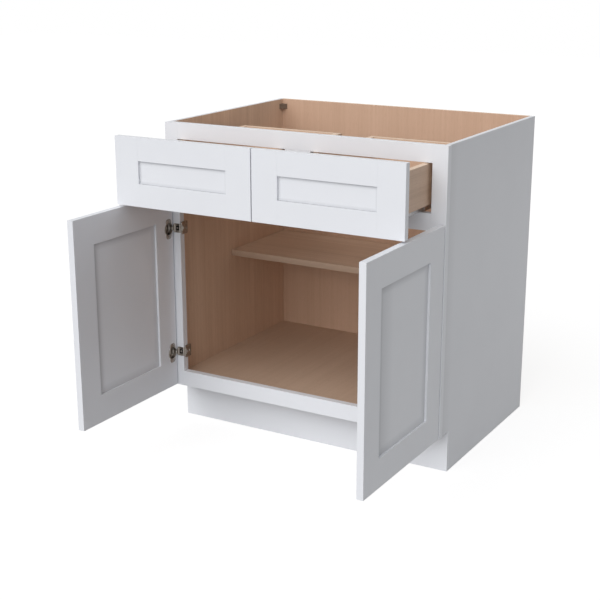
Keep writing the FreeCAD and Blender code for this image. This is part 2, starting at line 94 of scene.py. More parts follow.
class Signal:
    """A value in a material's nodes. Arithmetic on it adds Math nodes."""

    def __init__(self, shader: "Shader", socket: bpy.types.NodeSocket) -> None:
        """Keeps the socket and the shader whose nodes hold it."""
        self.shader = shader
        self.socket = socket

    def _math(self, operation: str, first: "Signal | Number", second: "Signal | Number") -> "Signal":
        """Adds one Math node.

        Args:
            operation: what the node does.
            first: its first value.
            second: its second value.

        Returns:
            The node's result.
        """
        return self.shader.value("ShaderNodeMath", "Value", {"operation": operation},
                                 {"Value": first, "Value_001": second})

    def __add__(self, other: "Signal | Number") -> "Signal":
        """Adds another value."""
        return self._math("ADD", self, other)

    def __radd__(self, other: Number) -> "Signal":
        """Adds this value to a number."""
        return self._math("ADD", other, self)

    def __sub__(self, other: "Signal | Number") -> "Signal":
        """Takes another value away."""
        return self._math("SUBTRACT", self, other)

    def __rsub__(self, other: Number) -> "Signal":
        """Takes this value away from a number."""
        return self._math("SUBTRACT", other, self)

    def __mul__(self, other: "Signal | Number") -> "Signal":
        """Multiplies by another value."""
        return self._math("MULTIPLY", self, other)

    def __rmul__(self, other: Number) -> "Signal":
        """Multiplies a number by this value."""
        return self._math("MULTIPLY", other, self)

    def __truediv__(self, other: "Signal | Number") -> "Signal":
        """Divides by another value."""
        return self._math("DIVIDE", self, other)

    def __gt__(self, other: "Signal | Number") -> "Signal":
        """Gives 1 where this value is larger, and 0 elsewhere."""
        return self._math("GREATER_THAN", self, other)

    def __lt__(self, other: "Signal | Number") -> "Signal":
        """Gives 1 where this value is smaller, and 0 elsewhere."""
        return self._math("LESS_THAN", self, other)

    def __abs__(self) -> "Signal":
        """Drops the sign."""
        return self._math("ABSOLUTE", self, 0)

    def lesser(self, other: "Signal | Number") -> "Signal":
        """Gives the smaller of this value and another."""
        return self._math("MINIMUM", self, other)

    def to_and_fro(self, length: Number) -> "Signal":
        """Rises and falls between 0 and a length, as a zigzag."""
        return self._math("PINGPONG", self, length)

    def off_middle(self) -> "Signal":
        """Gives how far this value lies from the middle of the range from 0 to 1."""
        return self - MIDDLE

    def within(self, low: Number, high: Number) -> "Signal":
        """Limits this value.

        Args:
            low: the lowest result.
            high: the highest result.

        Returns:
            The limited value.
        """
        return self._math("MAXIMUM", self, low).lesser(high)


class Shader:
    """Adds nodes to one material or world."""

    def __init__(self, owner: bpy.types.Material | bpy.types.World) -> None:
        """Empties the owner's nodes and keeps them.

        Args:
            owner: the material or world.
        """
        owner.use_nodes = True
        self.tree = owner.node_tree
        self.tree.nodes.clear()

    def node(self, kind: str, settings: dict[str, object] | None = None,
             sockets: dict[str, object] | None = None) -> bpy.types.Node:
        """Adds any node.

        Args:
            kind: the node's type.
            settings: its own settings, which are set first.
            sockets: the values or links of its sockets, by socket name or identifier.

        Returns:
            The node.
        """
        made = self.tree.nodes.new(kind)
        for key, setting in (settings or {}).items():
            setattr(made, key, setting)
        for key, given in (sockets or {}).items():
            socket = next((s for s in made.inputs if s.identifier == key), None) or made.inputs[key]
            source = given.socket if isinstance(given, Signal) else given
            if isinstance(source, bpy.types.NodeSocket):
                self.tree.links.new(source, socket)
            elif socket.type == "RGBA":
                socket.default_value = (*source, 1)
            else:
                socket.default_value = source
        return made

    def value(self, kind: str, output: str, settings: dict[str, object] | None = None,
              sockets: dict[str, object] | None = None) -> Signal:
        """Adds any node and wraps one of its outputs.

        Args:
            kind: the node's type.
            output: the output's name.
            settings: the node's own settings.
            sockets: the values or links of its sockets.

        Returns:
            The wrapped output.
        """
        return Signal(self, self.node(kind, settings, sockets).outputs[output])

    def blend(self, share: Signal | Number, first: object, second: object) -> bpy.types.NodeSocket:
        """Mixes two colours.

        Args:
            share: how much of the second colour shows.
            first: the first colour or colour socket.
            second: the second colour or colour socket.

        Returns:
            The mixed colour's socket.
        """
        made = self.node("ShaderNodeMix", {"data_type": "RGBA"},
                         {"Factor_Float": share, "A_Color": first, "B_Color": second})
        return next(s for s in made.outputs if s.identifier == "Result_Color")

    def place(self) -> bpy.types.NodeSocket:
        """Gives the place on the piece at rest, in metres."""
        return self.node("ShaderNodeTexCoord").outputs["Object"]

    def place_along(self, axis: Axis) -> Signal:
        """Gives the place on the piece along one axis, in metres."""
        return self.value("ShaderNodeSeparateXYZ", "XYZ"[axis.value], {}, {"Vector": self.place()})

    def facing(self, axis: Axis) -> Signal:
        """Gives how far the surface faces along an axis, from 0 to 1."""
        normal = self.node("ShaderNodeTexCoord").outputs["Normal"]
        return abs(self.value("ShaderNodeSeparateXYZ", "XYZ"[axis.value], {}, {"Vector": normal}))

    def noise(self, per_metre: Sequence[float], detail: float, rough: float = NOISE_ROUGH) -> Signal:
        """Adds smooth noise whose grain may be longer one way than another.

        Args:
            per_metre: how many features fit in a metre along X, Y and Z.
            detail: how many finer layers are added.
            rough: how strong the finer layers are.

        Returns:
            The noise, from 0 to 1 about one half.
        """
        stretched = self.node("ShaderNodeVectorMath", {"operation": "MULTIPLY"},
                              {"Vector": self.place(), "Vector_001": tuple(per_metre)}).outputs["Vector"]
        return self.value("ShaderNodeTexNoise", "Fac", {},
                          {"Vector": stretched, "Scale": 1, "Detail": detail, "Roughness": rough})

    def even_noise(self, per_metre: float, detail: float) -> Signal:
        """Adds smooth noise whose grain is alike every way."""
        return self.noise((per_metre,) * len(Axis), detail)

    def cells(self, per_metre: float) -> Signal:
        """Adds flat cells of random strength.

        Args:
            per_metre: how many cells fit in a metre.

        Returns:
            Each cell's strength, from 0 to 1.
        """
        cell = self.node("ShaderNodeTexVoronoi", {}, {"Vector": self.place(), "Scale": per_metre})
        return self.value("ShaderNodeSeparateColor", "Red", {}, {"Color": cell.outputs["Color"]})


@dataclass
class Layers:
    """What a finish feeds to the surface shader.

    Attributes:
        colour: the colour's socket.
        roughness: how rough the surface is.
        height: the fine relief, from 0 to 1.
    """

    colour: bpy.types.NodeSocket
    roughness: Signal
    height: Signal


# Finishes


@dataclass(frozen=True)
class Pattern:
    """One layer of wood grain.

    Attributes:
        across: how many features fit in a metre across the grain.
        along: how many fit in a metre along it.
        detail: how many finer layers are added.
        rough: how strong the finer layers are.
    """

    across: float
    along: float
    detail: float
    rough: float = NOISE_ROUGH


@dataclass(frozen=True)
class Board:
    """How a board lies: its grain's direction, and where its two faces are.

    Attributes:
        grain: the direction of the grain.
        thick: the direction of the thickness.
        low: the place of the lower face along the thickness, in metres.
        thickness: the board's thickness, in metres.
    """

    grain: Axis
    thick: Axis
    low: float
    thickness: float

    @classmethod
    def of(cls, node: str, grain: Axis, thick: Axis) -> "Board":
        """Reads a board's faces from its solid.

        Args:
            node: the solid's name.
            grain: the direction of the grain.
            thick: the direction of the thickness.

        Returns:
            The board.
        """
        low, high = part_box(node)
        return cls(grain, thick, low[thick.value], high[thick.value] - low[thick.value])

    def streaks(self, shader: Shader, pattern: Pattern) -> Signal:
        """Adds noise whose features are closer across the grain than along it.

        Args:
            shader: the material's nodes.
            pattern: the layer of grain.

        Returns:
            The noise, from 0 to 1 about one half.
        """
        per_metre = [pattern.along if axis is self.grain else pattern.across for axis in Axis]
        return shader.noise(per_metre, pattern.detail, pattern.rough)


@dataclass(frozen=True)
class Finish:
    """What every finish has in common.

    Attributes:
        name: the material's name.
        metal: 1 for bare metal, 0 otherwise.
        relief: the depth of the fine relief, in metres.
        relief_strength: how strongly the relief turns the light.
    """

    name: str
    metal: float = 0
    relief: float = 0.0001
    relief_strength: float = 0.2

    def layers(self, shader: Shader) -> Layers:
        """Adds this finish's own nodes; each finish has its own."""
        raise NotImplementedError(self.name)

    def material(self) -> bpy.types.Material:
        """Builds the material.

        Returns:
            The material, ready for a piece.
        """
        made = bpy.data.materials.new(self.name)
        shader = Shader(made)
        layers = self.layers(shader)
        normal = shader.node("ShaderNodeBump", {}, {"Strength": self.relief_strength, "Distance": self.relief,
                                                    "Height": layers.height}).outputs["Normal"]
        surface = shader.node("ShaderNodeBsdfPrincipled", {}, {
            "Base Color": layers.colour, "Roughness": layers.roughness, "Metallic": self.metal,
            "Normal": normal})
        shader.node("ShaderNodeOutputMaterial", {}, {"Surface": surface.outputs["BSDF"]})
        return made


@dataclass(frozen=True)
class Paint(Finish):
    """Sprayed satin cabinet paint: fine peel, a slow drift in tone and in sheen.

    Attributes:
        shade: the colour where the coat is thinnest.
        light: the colour where it is fullest.
        sheen: the middle roughness.
        sheen_drift: how far the roughness drifts.
        drift_per_metre: how many drifts of tone fit in a metre.
        sheen_per_metre: how many drifts of sheen fit in a metre.
        peel_per_metre: how many peel dimples fit in a metre.
    """

    shade: Colour = (0.77, 0.785, 0.825)
    light: Colour = (0.82, 0.835, 0.875)
    sheen: float = 0.42
    sheen_drift: float = 0.12
    drift_per_metre: float = 5
    sheen_per_metre: float = 38
    peel_per_metre: float = 850

    DRIFT_DETAIL = 3
    SHEEN_DETAIL = 2
    PEEL_DETAIL = 1

    def layers(self, shader: Shader) -> Layers:
        """Adds the drift, the sheen and the peel.

        Args:
            shader: the material's nodes.

        Returns:
            The paint's layers.
        """
        drift = shader.even_noise(self.drift_per_metre, self.DRIFT_DETAIL)
        sheen = shader.even_noise(self.sheen_per_metre, self.SHEEN_DETAIL)
        peel = shader.even_noise(self.peel_per_metre, self.PEEL_DETAIL)
        return Layers(shader.blend(drift, self.shade, self.light),
                      self.sheen + sheen.off_middle() * self.sheen_drift, peel)


@dataclass(frozen=True)
class PanelPaint(Paint):
    """Paint on a centre panel, with painted shade that darkens it along the edges where it enters its frame.

    Attributes:
        low: the lower corner of the panel's open part, in metres.
        high: its upper corner, in metres.
        thick: the direction of the panel's thickness.
        line: how wide the painted shade along the panel's edges is, in metres.
        panel_shade_colour: the colour of that painted shade.
        panel_shade_share: how strongly it shows.
        end_shade_reach: how far the painted shade beside the front stile reaches, in metres.
        end_shade_share: how strongly that painted shade shows.
    """

    low: tuple[float, float, float] = (0, 0, 0)
    high: tuple[float, float, float] = (1, 1, 1)
    thick: Axis = Axis.DEPTH
    line: float = 0.0035
    panel_shade_colour: Colour = (0.30, 0.305, 0.32)
    panel_shade_share: float = 0.45
    end_shade_reach: float = 0.03
    end_shade_share: float = 0

    # How far the panel's tongue enters its frame, in metres, and how much rougher the paint is under the
    # painted shade
    TONGUE = 0.009
    LINE_DULL = 0.3

    @classmethod
    def of(cls, node: str, thick: Axis, **shade_sizes: float) -> "PanelPaint":
        """Reads a panel's open part from its solid, less the tongue inside its frame.

        Args:
            node: the solid's name.
            thick: the direction of the panel's thickness.
            shade_sizes: the widths and shares of the painted shade along the edges and beside the front
                stile.

        Returns:
            The panel's paint.
        """
        low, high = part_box(node)
        return cls(node + "_paint", low=tuple(value + cls.TONGUE for value in low),
                   high=tuple(value - cls.TONGUE for value in high), thick=thick, **shade_sizes)

    def layers(self, shader: Shader) -> Layers:
        """Adds the painted shade to the paint's layers.

        Args:
            shader: the material's nodes.

        Returns:
            The panel's layers.
        """
        coat = super().layers(shader)
        inside = []
        for axis in Axis:
            if axis is not self.thick:
                low = self.low[axis.value]
                high = self.high[axis.value]
                inside.append((high - low) / 2 - abs(shader.place_along(axis) - (low + high) / 2))
        # Painted shade: darker towards the panel's edges, and towards its front stile by the end shade
        line = (1 - inside[0].lesser(inside[1]) / self.line).within(0, 1) * self.panel_shade_share
        ahead = shader.place_along(Axis.DEPTH) - self.low[Axis.DEPTH.value]
        shade = line + (1 - ahead / self.end_shade_reach).within(0, 1) * self.end_shade_share
        colour = shader.blend(shade, coat.colour, self.panel_shade_colour)
        return Layers(colour, coat.roughness + shade * self.LINE_DULL, coat.height)


@dataclass(frozen=True)
class SillPaint(Paint):
    """Paint on the rail under a centre panel, with painted shade on the face that the panel stands on.

    Attributes:
        sill_above: how high that face lies at least, in metres.
        sill_shade_colour: the colour of the painted shade on that face.
        sill_shade_share: how strongly it shows.
    """

    sill_above: float = 0
    sill_shade_colour: Colour = (0.26, 0.265, 0.28)
    sill_shade_share: float = 0.62

    # How far a face has to look up or down to count as level
    LEVEL_FROM = 0.35

    @classmethod
    def of(cls, node: str) -> "SillPaint":
        """Reads where the sill is from its solid.

        Args:
            node: the solid's name.

        Returns:
            The rail's paint.
        """
        low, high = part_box(node)
        up = Axis.UPRIGHT.value
        return cls(node + "_paint", sill_above=(low[up] + high[up]) / 2)

    def layers(self, shader: Shader) -> Layers:
        """Adds the painted shade on the sill to the paint's layers.

        Args:
            shader: the material's nodes.

        Returns:
            The rail's layers.
        """
        coat = super().layers(shader)
        upper = shader.place_along(Axis.UPRIGHT) > self.sill_above
        # Painted shade on the rail's upward faces above its middle, where the panel's recess meets it
        sill = upper * (shader.facing(Axis.UPRIGHT) > self.LEVEL_FROM) * self.sill_shade_share
        return Layers(shader.blend(sill, coat.colour, self.sill_shade_colour), coat.roughness, coat.height)


@dataclass(frozen=True)
class Wood(Finish):
    """Clear-coated pale plywood: straight streaks, fine pores, and plies on its edges.

    Attributes:
        board: how the board lies.
        dark: the colour of the darker streaks.
        light: the colour of the lighter streaks.
        pore: the colour of the pores.
        ply_light: the colour of the lighter plies on an edge.
        ply_dark: the colour of the darker plies on an edge.
        plies: how many plies the board has.
        sheen: the middle roughness.
    """

    board: Board = Board(Axis.UPRIGHT, Axis.DEPTH, 0, 1)
    dark: Colour = (0.54, 0.372, 0.262)
    light: Colour = (0.69, 0.505, 0.378)
    pore: Colour = (0.37, 0.215, 0.135)
    ply_light: Colour = (0.80, 0.60, 0.445)
    ply_dark: Colour = (0.68, 0.47, 0.33)
    plies: int = 7
    sheen: float = 0.47

    BROAD = Pattern(across=14, along=0.7, detail=2)
    STREAK = Pattern(across=85, along=1.3, detail=4, rough=0.6)
    FINE = Pattern(across=520, along=5, detail=3, rough=0.6)
    PORES = Pattern(across=1500, along=45, detail=1)

    # How strongly each pattern shows in the tone, where pores and plies start, and what they add to the sheen
    BROAD_SHARE = 1.1
    STREAK_SHARE = 1.3
    FINE_SHARE = 0.9
    PORE_FROM = 0.60
    PORE_RANGE = 0.12
    PORE_SHARE = 0.30
    PLY_CONTRAST = 1.6
    PLY_SHIFT = 0.3
    PLY_FINE_SHARE = 0.8
    FACE_FROM = 0.6
    FINE_SHEEN = 0.20
    PORE_SHEEN = 0.08
    EDGE_SHEEN = 0.12
    RELIEF_SHARE = 0.5

    def layers(self, shader: Shader) -> Layers:
        """Adds the streaks, the pores and the edge plies.

        Args:
            shader: the material's nodes.

        Returns:
            The wood's layers.
        """
        patterns = (self.BROAD, self.STREAK, self.FINE, self.PORES)
        broad, streak, fine, holes = (self.board.streaks(shader, pattern) for pattern in patterns)
        pores = (holes - self.PORE_FROM).within(0, self.PORE_RANGE) / self.PORE_RANGE
        tone = (MIDDLE + broad.off_middle() * self.BROAD_SHARE + streak.off_middle() * self.STREAK_SHARE
                + fine.off_middle() * self.FINE_SHARE).within(0, 1)
        face = shader.blend(pores * self.PORE_SHARE, shader.blend(tone, self.dark, self.light), self.pore)
        depth = (shader.place_along(self.board.thick) - self.board.low) / self.board.thickness
        ply = ((depth * self.plies).to_and_fro(1) * self.PLY_CONTRAST - self.PLY_SHIFT
               + fine.off_middle() * self.PLY_FINE_SHARE).within(0, 1)
        edge = shader.facing(self.board.thick) < self.FACE_FROM
        colour = shader.blend(edge, face, shader.blend(ply, self.ply_dark, self.ply_light))
        roughness = (self.sheen + fine.off_middle() * self.FINE_SHEEN + pores * self.PORE_SHEEN
                     + edge * self.EDGE_SHEEN)
        height = fine * self.RELIEF_SHARE + (1 - self.RELIEF_SHARE) - pores * self.RELIEF_SHARE
        return Layers(colour, roughness, height)


@dataclass(frozen=True)
class PaintedPanel(Finish):
    """A side panel: painted on its outer face and edges, bare wood on its inner face.

    Attributes:
        paint: the painted faces.
        wood: the bare face.
        inner_face: how far from the middle the inner face lies, in metres.
        front: where the panel meets the face frame along Y, in metres.
        frame_shade_reach: how far the painted shade behind the face frame reaches, in metres.
        frame_shade_colour: the colour of that painted shade.
        frame_shade_share: how strongly it shows at the frame.
    """

    # A slightly darker copy of the cabinet's white paint: the difference is painted shade on the cabinet's
    # sides
    paint: Paint = Paint("panel_paint", shade=(0.735, 0.75, 0.79), light=(0.78, 0.795, 0.835))
    wood: Wood = Wood("panel_wood")
    inner_face: float = 0
    front: float = 0
    frame_shade_reach: float = 0.05
    frame_shade_colour: Colour = (0.46, 0.465, 0.485)
    frame_shade_share: float = 0.24

    # How close to the inner face a point counts as bare, in metres
    HAIR = 0.0004

    @classmethod
    def of(cls, node: str, wood: Wood) -> "PaintedPanel":
        """Reads from a panel's solid where its inner face and its front edge are.

        Args:
            node: the solid's name.
            wood: the bare face.

        Returns:
            The panel's finish.
        """
        low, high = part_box(node)
        across = Axis.ACROSS.value
        return cls(node + "_faces", wood=wood, inner_face=min(abs(low[across]), abs(high[across])),
                   front=low[Axis.DEPTH.value])

    def layers(self, shader: Shader) -> Layers:
        """Adds both finishes and chooses between them by how far out the surface lies.

        Args:
            shader: the material's nodes.

        Returns:
            The panel's layers.
        """
        bare = abs(shader.place_along(Axis.ACROSS)) < self.inner_face + self.HAIR
        painted = self.paint.layers(shader)
        plain = self.wood.layers(shader)
        # Painted shade on the outer face, darkest where it meets the face frame and fading towards the back
        behind = (shader.place_along(Axis.DEPTH) - self.front) / self.frame_shade_reach
        frame_shade = (1 - behind).within(0, 1) * self.frame_shade_share
        coat = shader.blend(frame_shade, painted.colour, self.frame_shade_colour)
        return Layers(shader.blend(bare, coat, plain.colour),
                      painted.roughness + (plain.roughness - painted.roughness) * bare,
                      painted.height + (plain.height - painted.height) * bare)


@dataclass(frozen=True)
class Metal(Finish):
    """Plated sheet steel: cloudy tone, fine scratches, and spangle where it is zinc.

    Attributes:
        shade: the duller colour.
        light: the brighter colour.
        sheen: the middle roughness.
        sheen_drift: how far the roughness drifts.
        spangle_per_metre: how many zinc flowers fit in a metre.
        spangle_share: how much the zinc flowers show.
        scratches: scratches per metre along X, Y and Z.
    """

    metal: float = 1
    shade: Colour = (0.25, 0.226, 0.203)
    light: Colour = (0.49, 0.457, 0.42)
    sheen: float = 0.30
    sheen_drift: float = 0.22
    spangle_per_metre: float = 160
    spangle_share: float = 0
    scratches: tuple[float, float, float] = (900, 900, 60)

    CLOUDS_PER_METRE = 130
    CLOUD_DETAIL = 3
    SCRATCH_DETAIL = 2
    SCRATCH_ROUGH = 0.6
    TONE_SHEEN = 0.1

    def layers(self, shader: Shader) -> Layers:
        """Adds the clouds, the scratches and the spangle.

        Args:
            shader: the material's nodes.

        Returns:
            The metal's layers.
        """
        clouds = shader.even_noise(self.CLOUDS_PER_METRE, self.CLOUD_DETAIL)
        scratch = shader.noise(self.scratches, self.SCRATCH_DETAIL, self.SCRATCH_ROUGH)
        flower = shader.cells(self.spangle_per_metre)
        tone = (clouds * (1 - self.spangle_share) + flower * self.spangle_share).within(0, 1)
        roughness = self.sheen + scratch.off_middle() * self.sheen_drift + tone.off_middle() * self.TONE_SHEEN
        return Layers(shader.blend(tone, self.shade, self.light), roughness, scratch)


@dataclass(frozen=True)
class Plastic(Finish):
    """Moulded plastic: a sparked mould texture and faint flow marks.

    Attributes:
        shade: the darker colour of the flow marks.
        light: the lighter colour.
        sheen: the middle roughness.
    """

    shade: Colour = (0.13, 0.09, 0.062)
    light: Colour = (0.19, 0.132, 0.092)
    sheen: float = 0.5

    FLOW_PER_METRE = (60, 60, 160)
    FLOW_DETAIL = 3
    SPARKS_PER_METRE = 1400
    SPARK_DETAIL = 1
    SPARK_SHEEN = 0.18

    def layers(self, shader: Shader) -> Layers:
        """Adds the flow marks and the mould texture.

        Args:
            shader: the material's nodes.

        Returns:
            The plastic's layers.
        """
        flow = shader.noise(self.FLOW_PER_METRE, self.FLOW_DETAIL)
        spark = shader.even_noise(self.SPARKS_PER_METRE, self.SPARK_DETAIL)
        return Layers(shader.blend(flow, self.shade, self.light),
                      self.sheen + spark.off_middle() * self.SPARK_SHEEN, spark)


# Mesh helpers


# How many points a round shape has, and a pan head's form as shares of its radius and height
ROUND_STEPS = 72
DOME_SHARES = ((1, 0), (1, 0.45), (0.93, 0.75), (0.78, 0.94))
CROSS_LONG_SHARE = 0.60
CROSS_WIDE_SHARE = 0.17
CROSS_TAPER_SHARE = 0.05
CROSS_FLOOR_SHARE = 0.25


def round_outline(radius: float) -> Outline:
    """Gives a circle as an outline."""
    return lambda angle: radius


def rounded_box_outline(half_u: float, half_v: float, corner: float) -> Outline:
    """Gives a box with round corners as an outline.

    Args:
        half_u: half its first side.
        half_v: half its second side.
        corner: the corner radius.

    Returns:
        The distance to the edge for an angle.
    """
    core_u = half_u - corner
    core_v = half_v - corner

    def reach(angle: float) -> float:
        """Gives the distance to the edge.

        Args:
            angle: the direction from the middle.

        Returns:
            The distance.
        """
        u = abs(math.cos(angle))
        v = abs(math.sin(angle))
        if u * core_v >= v * half_u:
            return half_u / u
        if v * core_u >= u * half_v:
            return half_v / v
        along = u * core_u + v * core_v
        off = core_u * core_u + core_v * core_v - corner * corner
        return along + math.sqrt(max(along * along - off, 0))

    return reach


def cross_outline(half_long: float, half_wide: float) -> Outline:
    """Gives a plus sign as an outline.

    Args:
        half_long: half the length of its bars.
        half_wide: half the width of its bars.

    Returns:
        The distance to the edge for an angle.
    """
    least = 1e-9

    def reach(angle: float) -> float:
        """Gives the distance to the edge.

        Args:
            angle: the direction from the middle.

        Returns:
            The distance.
        """
        u = max(abs(math.cos(angle)), least)
        v = max(abs(math.sin(angle)), least)
        return max(min(half_long / u, half_wide / v), min(half_wide / u, half_long / v))

    return reach


def larger_outline(first: Outline, second: Outline) -> Outline:
    """Gives the outline round two outlines about one middle."""
    return lambda angle: max(first(angle), second(angle))


def inset(outline: Outline, by: float) -> Outline:
    """Gives an outline that lies a distance inside another."""
    return lambda angle: outline(angle) - by


def round_loops(rings: Iterable[tuple[float, float]]) -> list[Loop]:
    """Gives circles as loops, from their radii and heights."""
    return [(round_outline(radius), height) for radius, height in rings]


def eased(share: float) -> float:
    """Gives a share from 0 to 1 with a slow start and a slow end."""
    return share * share * (3 - 2 * share)


def turned(mesh: bmesh.types.BMesh, loops: Sequence[Loop], place: Matrix, steps: int = ROUND_STEPS,
           ring: bool = False) -> None:
    """Adds a closed shape that joins outlines at several heights.

    Args:
        mesh: the mesh that gets the shape.
        loops: each outline with its height.
        place: where the shape's middle and axes lie.
        steps: how many points each outline has.
        ring: whether the last outline joins the first, with no caps.
    """
    rows = []
    for outline, height in loops:
        row = []
        for step in range(steps):
            angle = math.tau * step / steps
            reach = outline(angle)
            point = Vector((reach * math.cos(angle), reach * math.sin(angle), height))
            row.append(mesh.verts.new(place @ point))
        rows.append(row)
    pairs = list(zip(rows, rows[1:]))
    if ring:
        pairs.append((rows[-1], rows[0]))
    for near, far in pairs:
        for step in range(steps):
            after = (step + 1) % steps
            mesh.faces.new((near[step], near[after], far[after], far[step]))
    if not ring:
        mesh.faces.new(rows[0])
        mesh.faces.new(rows[-1])


def inward_place(side: Side, out: float, y: float, z: float) -> Matrix:
    """Gives axes whose height points to the cabinet's middle.

    Args:
        side: the side of the cabinet.
        out: the distance from the middle.
        y: the place along Y.
        z: the place along Z.

    Returns:
        The place, with its height axis towards the middle.
    """
    inward = Vector((-side.sign, 0, 0))
    turn = Matrix((Vector((0, 1, 0)), Vector((0, 0, 1)), inward)).transposed()
    return Matrix.Translation((side.sign * out, y, z)) @ turn.to_4x4()


def forward_place(x: float, y: float, z: float) -> Matrix:
    """Gives axes whose height points out of the cabinet's front."""
    turn = Matrix((Vector((1, 0, 0)), Vector((0, 0, 1)), Vector((0, -1, 0)))).transposed()
    return Matrix.Translation((x, y, z)) @ turn.to_4x4()


def softened(outline: Outline, low: float, high: float, soft: float) -> list[Loop]:
    """Gives the loops of an upright wall with a softened upper edge.

    Args:
        outline: the wall's outline.
        low: the height where it starts.
        high: the height where it ends.
        soft: how wide its edge is softened.

    Returns:
        The loops.
    """
    return [(outline, low), (outline, high - soft), (inset(outline, soft), high)]


def pan_head(radius: float, high: float) -> list[Loop]:
    """Gives the loops of a pan head with a cross recess.

    Args:
        radius: the head's radius.
        high: the head's height.

    Returns:
        The loops, from the seat up and down into the recess.
    """
    dome = [(round_outline(radius * wide), high * up) for wide, up in DOME_SHARES]
    cross = cross_outline(radius * CROSS_LONG_SHARE, radius * CROSS_WIDE_SHARE)
    return [*dome, (cross, high), (inset(cross, radius * CROSS_TAPER_SHARE), high * CROSS_FLOOR_SHARE)]


def repeated(loops: Sequence[Loop], places: Iterable[Matrix]) -> bmesh.types.BMesh:
    """Makes one mesh of a shape at several places.

    Args:
        loops: the shape's outlines with their heights.
        places: where the shapes' middles and axes lie.

    Returns:
        The mesh.
    """
    mesh = bmesh.new()
    for place in places:
        turned(mesh, loops, place)
    return mesh


def rounded_line(corners: Sequence[Vector], bend: float, steps: int) -> list[Vector]:
    """Rounds the inner corners of a line.

    Args:
        corners: the line's corners.
        bend: how far from a corner the rounding starts.
        steps: how many pieces each rounding has.

    Returns:
        The points of the rounded line.
    """
    line = [corners[0]]
    for before, corner, after in zip(corners, corners[1:], corners[2:]):
        entry = corner + (before - corner).normalized() * bend
        leave = corner + (after - corner).normalized() * bend
        for step in range(steps + 1):
            share = step / steps
            line.append(entry.lerp(corner, share).lerp(corner.lerp(leave, share), share))
    return [*line, corners[-1]]


def mesh_data(name: str, mesh: bmesh.types.BMesh) -> bpy.types.Mesh:
    """Turns an edited mesh into mesh data.

    Args:
        name: the data's name.
        mesh: the edited mesh, which is used up.

    Returns:
        The mesh data.
    """
    data = bpy.data.meshes.new(name)
    mesh.to_mesh(data)
    mesh.free()
    return data


def placed(name: str, data: bpy.types.ID) -> bpy.types.Object:
    """Adds an object to the scene.

    Args:
        name: the object's name.
        data: its mesh, lamp or lens.

    Returns:
        The object.
    """
    made = bpy.data.objects.new(name, data)
    bpy.context.scene.collection.objects.link(made)
    return made


class Joinery:
    """Puts finished meshes and finishes on the cabinet."""

    # The angle below which an edge looks round, and how close points are joined, in metres
    SMOOTH_BELOW = math.radians(38)
    WELD = 0.00001
    ARRIS_STEPS = 2

    @classmethod
    def soften(cls, piece: bpy.types.Object, arris: float) -> bpy.types.Modifier:
        """Softens a piece's sharp edges.

        Args:
            piece: the piece.
            arris: how wide its edges are softened, in metres.

        Returns:
            The modifier that softens them.
        """
        bevel = piece.modifiers.new("arris", "BEVEL")
        bevel.width = arris
        bevel.segments = cls.ARRIS_STEPS
        bevel.limit_method = "ANGLE"
        return bevel

    @classmethod
    def dress(cls, node: str, material: bpy.types.Material, arris: float) -> None:
        """Gives a solid its finish and softens its sharp edges.

        Args:
            node: the solid's name.
            material: its finish.
            arris: how wide its edges are softened, in metres.
        """
        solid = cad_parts[node]
        if not solid.material_slots:
            solid.data.materials.append(material)
        for slot in solid.material_slots:
            slot.material = material
        weld = solid.modifiers.new("seams", "WELD")
        weld.merge_threshold = cls.WELD
        bevel = cls.soften(solid, arris)
        bevel.angle_limit = cls.SMOOTH_BELOW
        bevel.harden_normals = True
        LOG.info("dressed %s in %s", node, material.name)

    @classmethod
    def piece(cls, name: str, mesh: bmesh.types.BMesh, material: bpy.types.Material, body: str,
              stands_for: str, slot: Slot) -> bpy.types.Object:
        """Makes a piece that stands for a solid.

        Args:
            name: the piece's name.
            mesh: its shape, in the shared frame.
            material: its finish.
            body: the body that it moves with.
            stands_for: the solid that it stands for.
            slot: the record's slot of its finish; not used.

        Returns:
            The piece.
        """
        bmesh.ops.recalc_face_normals(mesh, faces=mesh.faces)
        data = mesh_data(name, mesh)
        data.shade_smooth()
        data.set_sharp_from_angle(angle=cls.SMOOTH_BELOW)
        data.materials.append(material)
        made = placed(name, data)
        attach(made, body)
        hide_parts(stands_for)
        LOG.info("made %s on %s", name, body)
        return made


# The cabinet's sub-assemblies


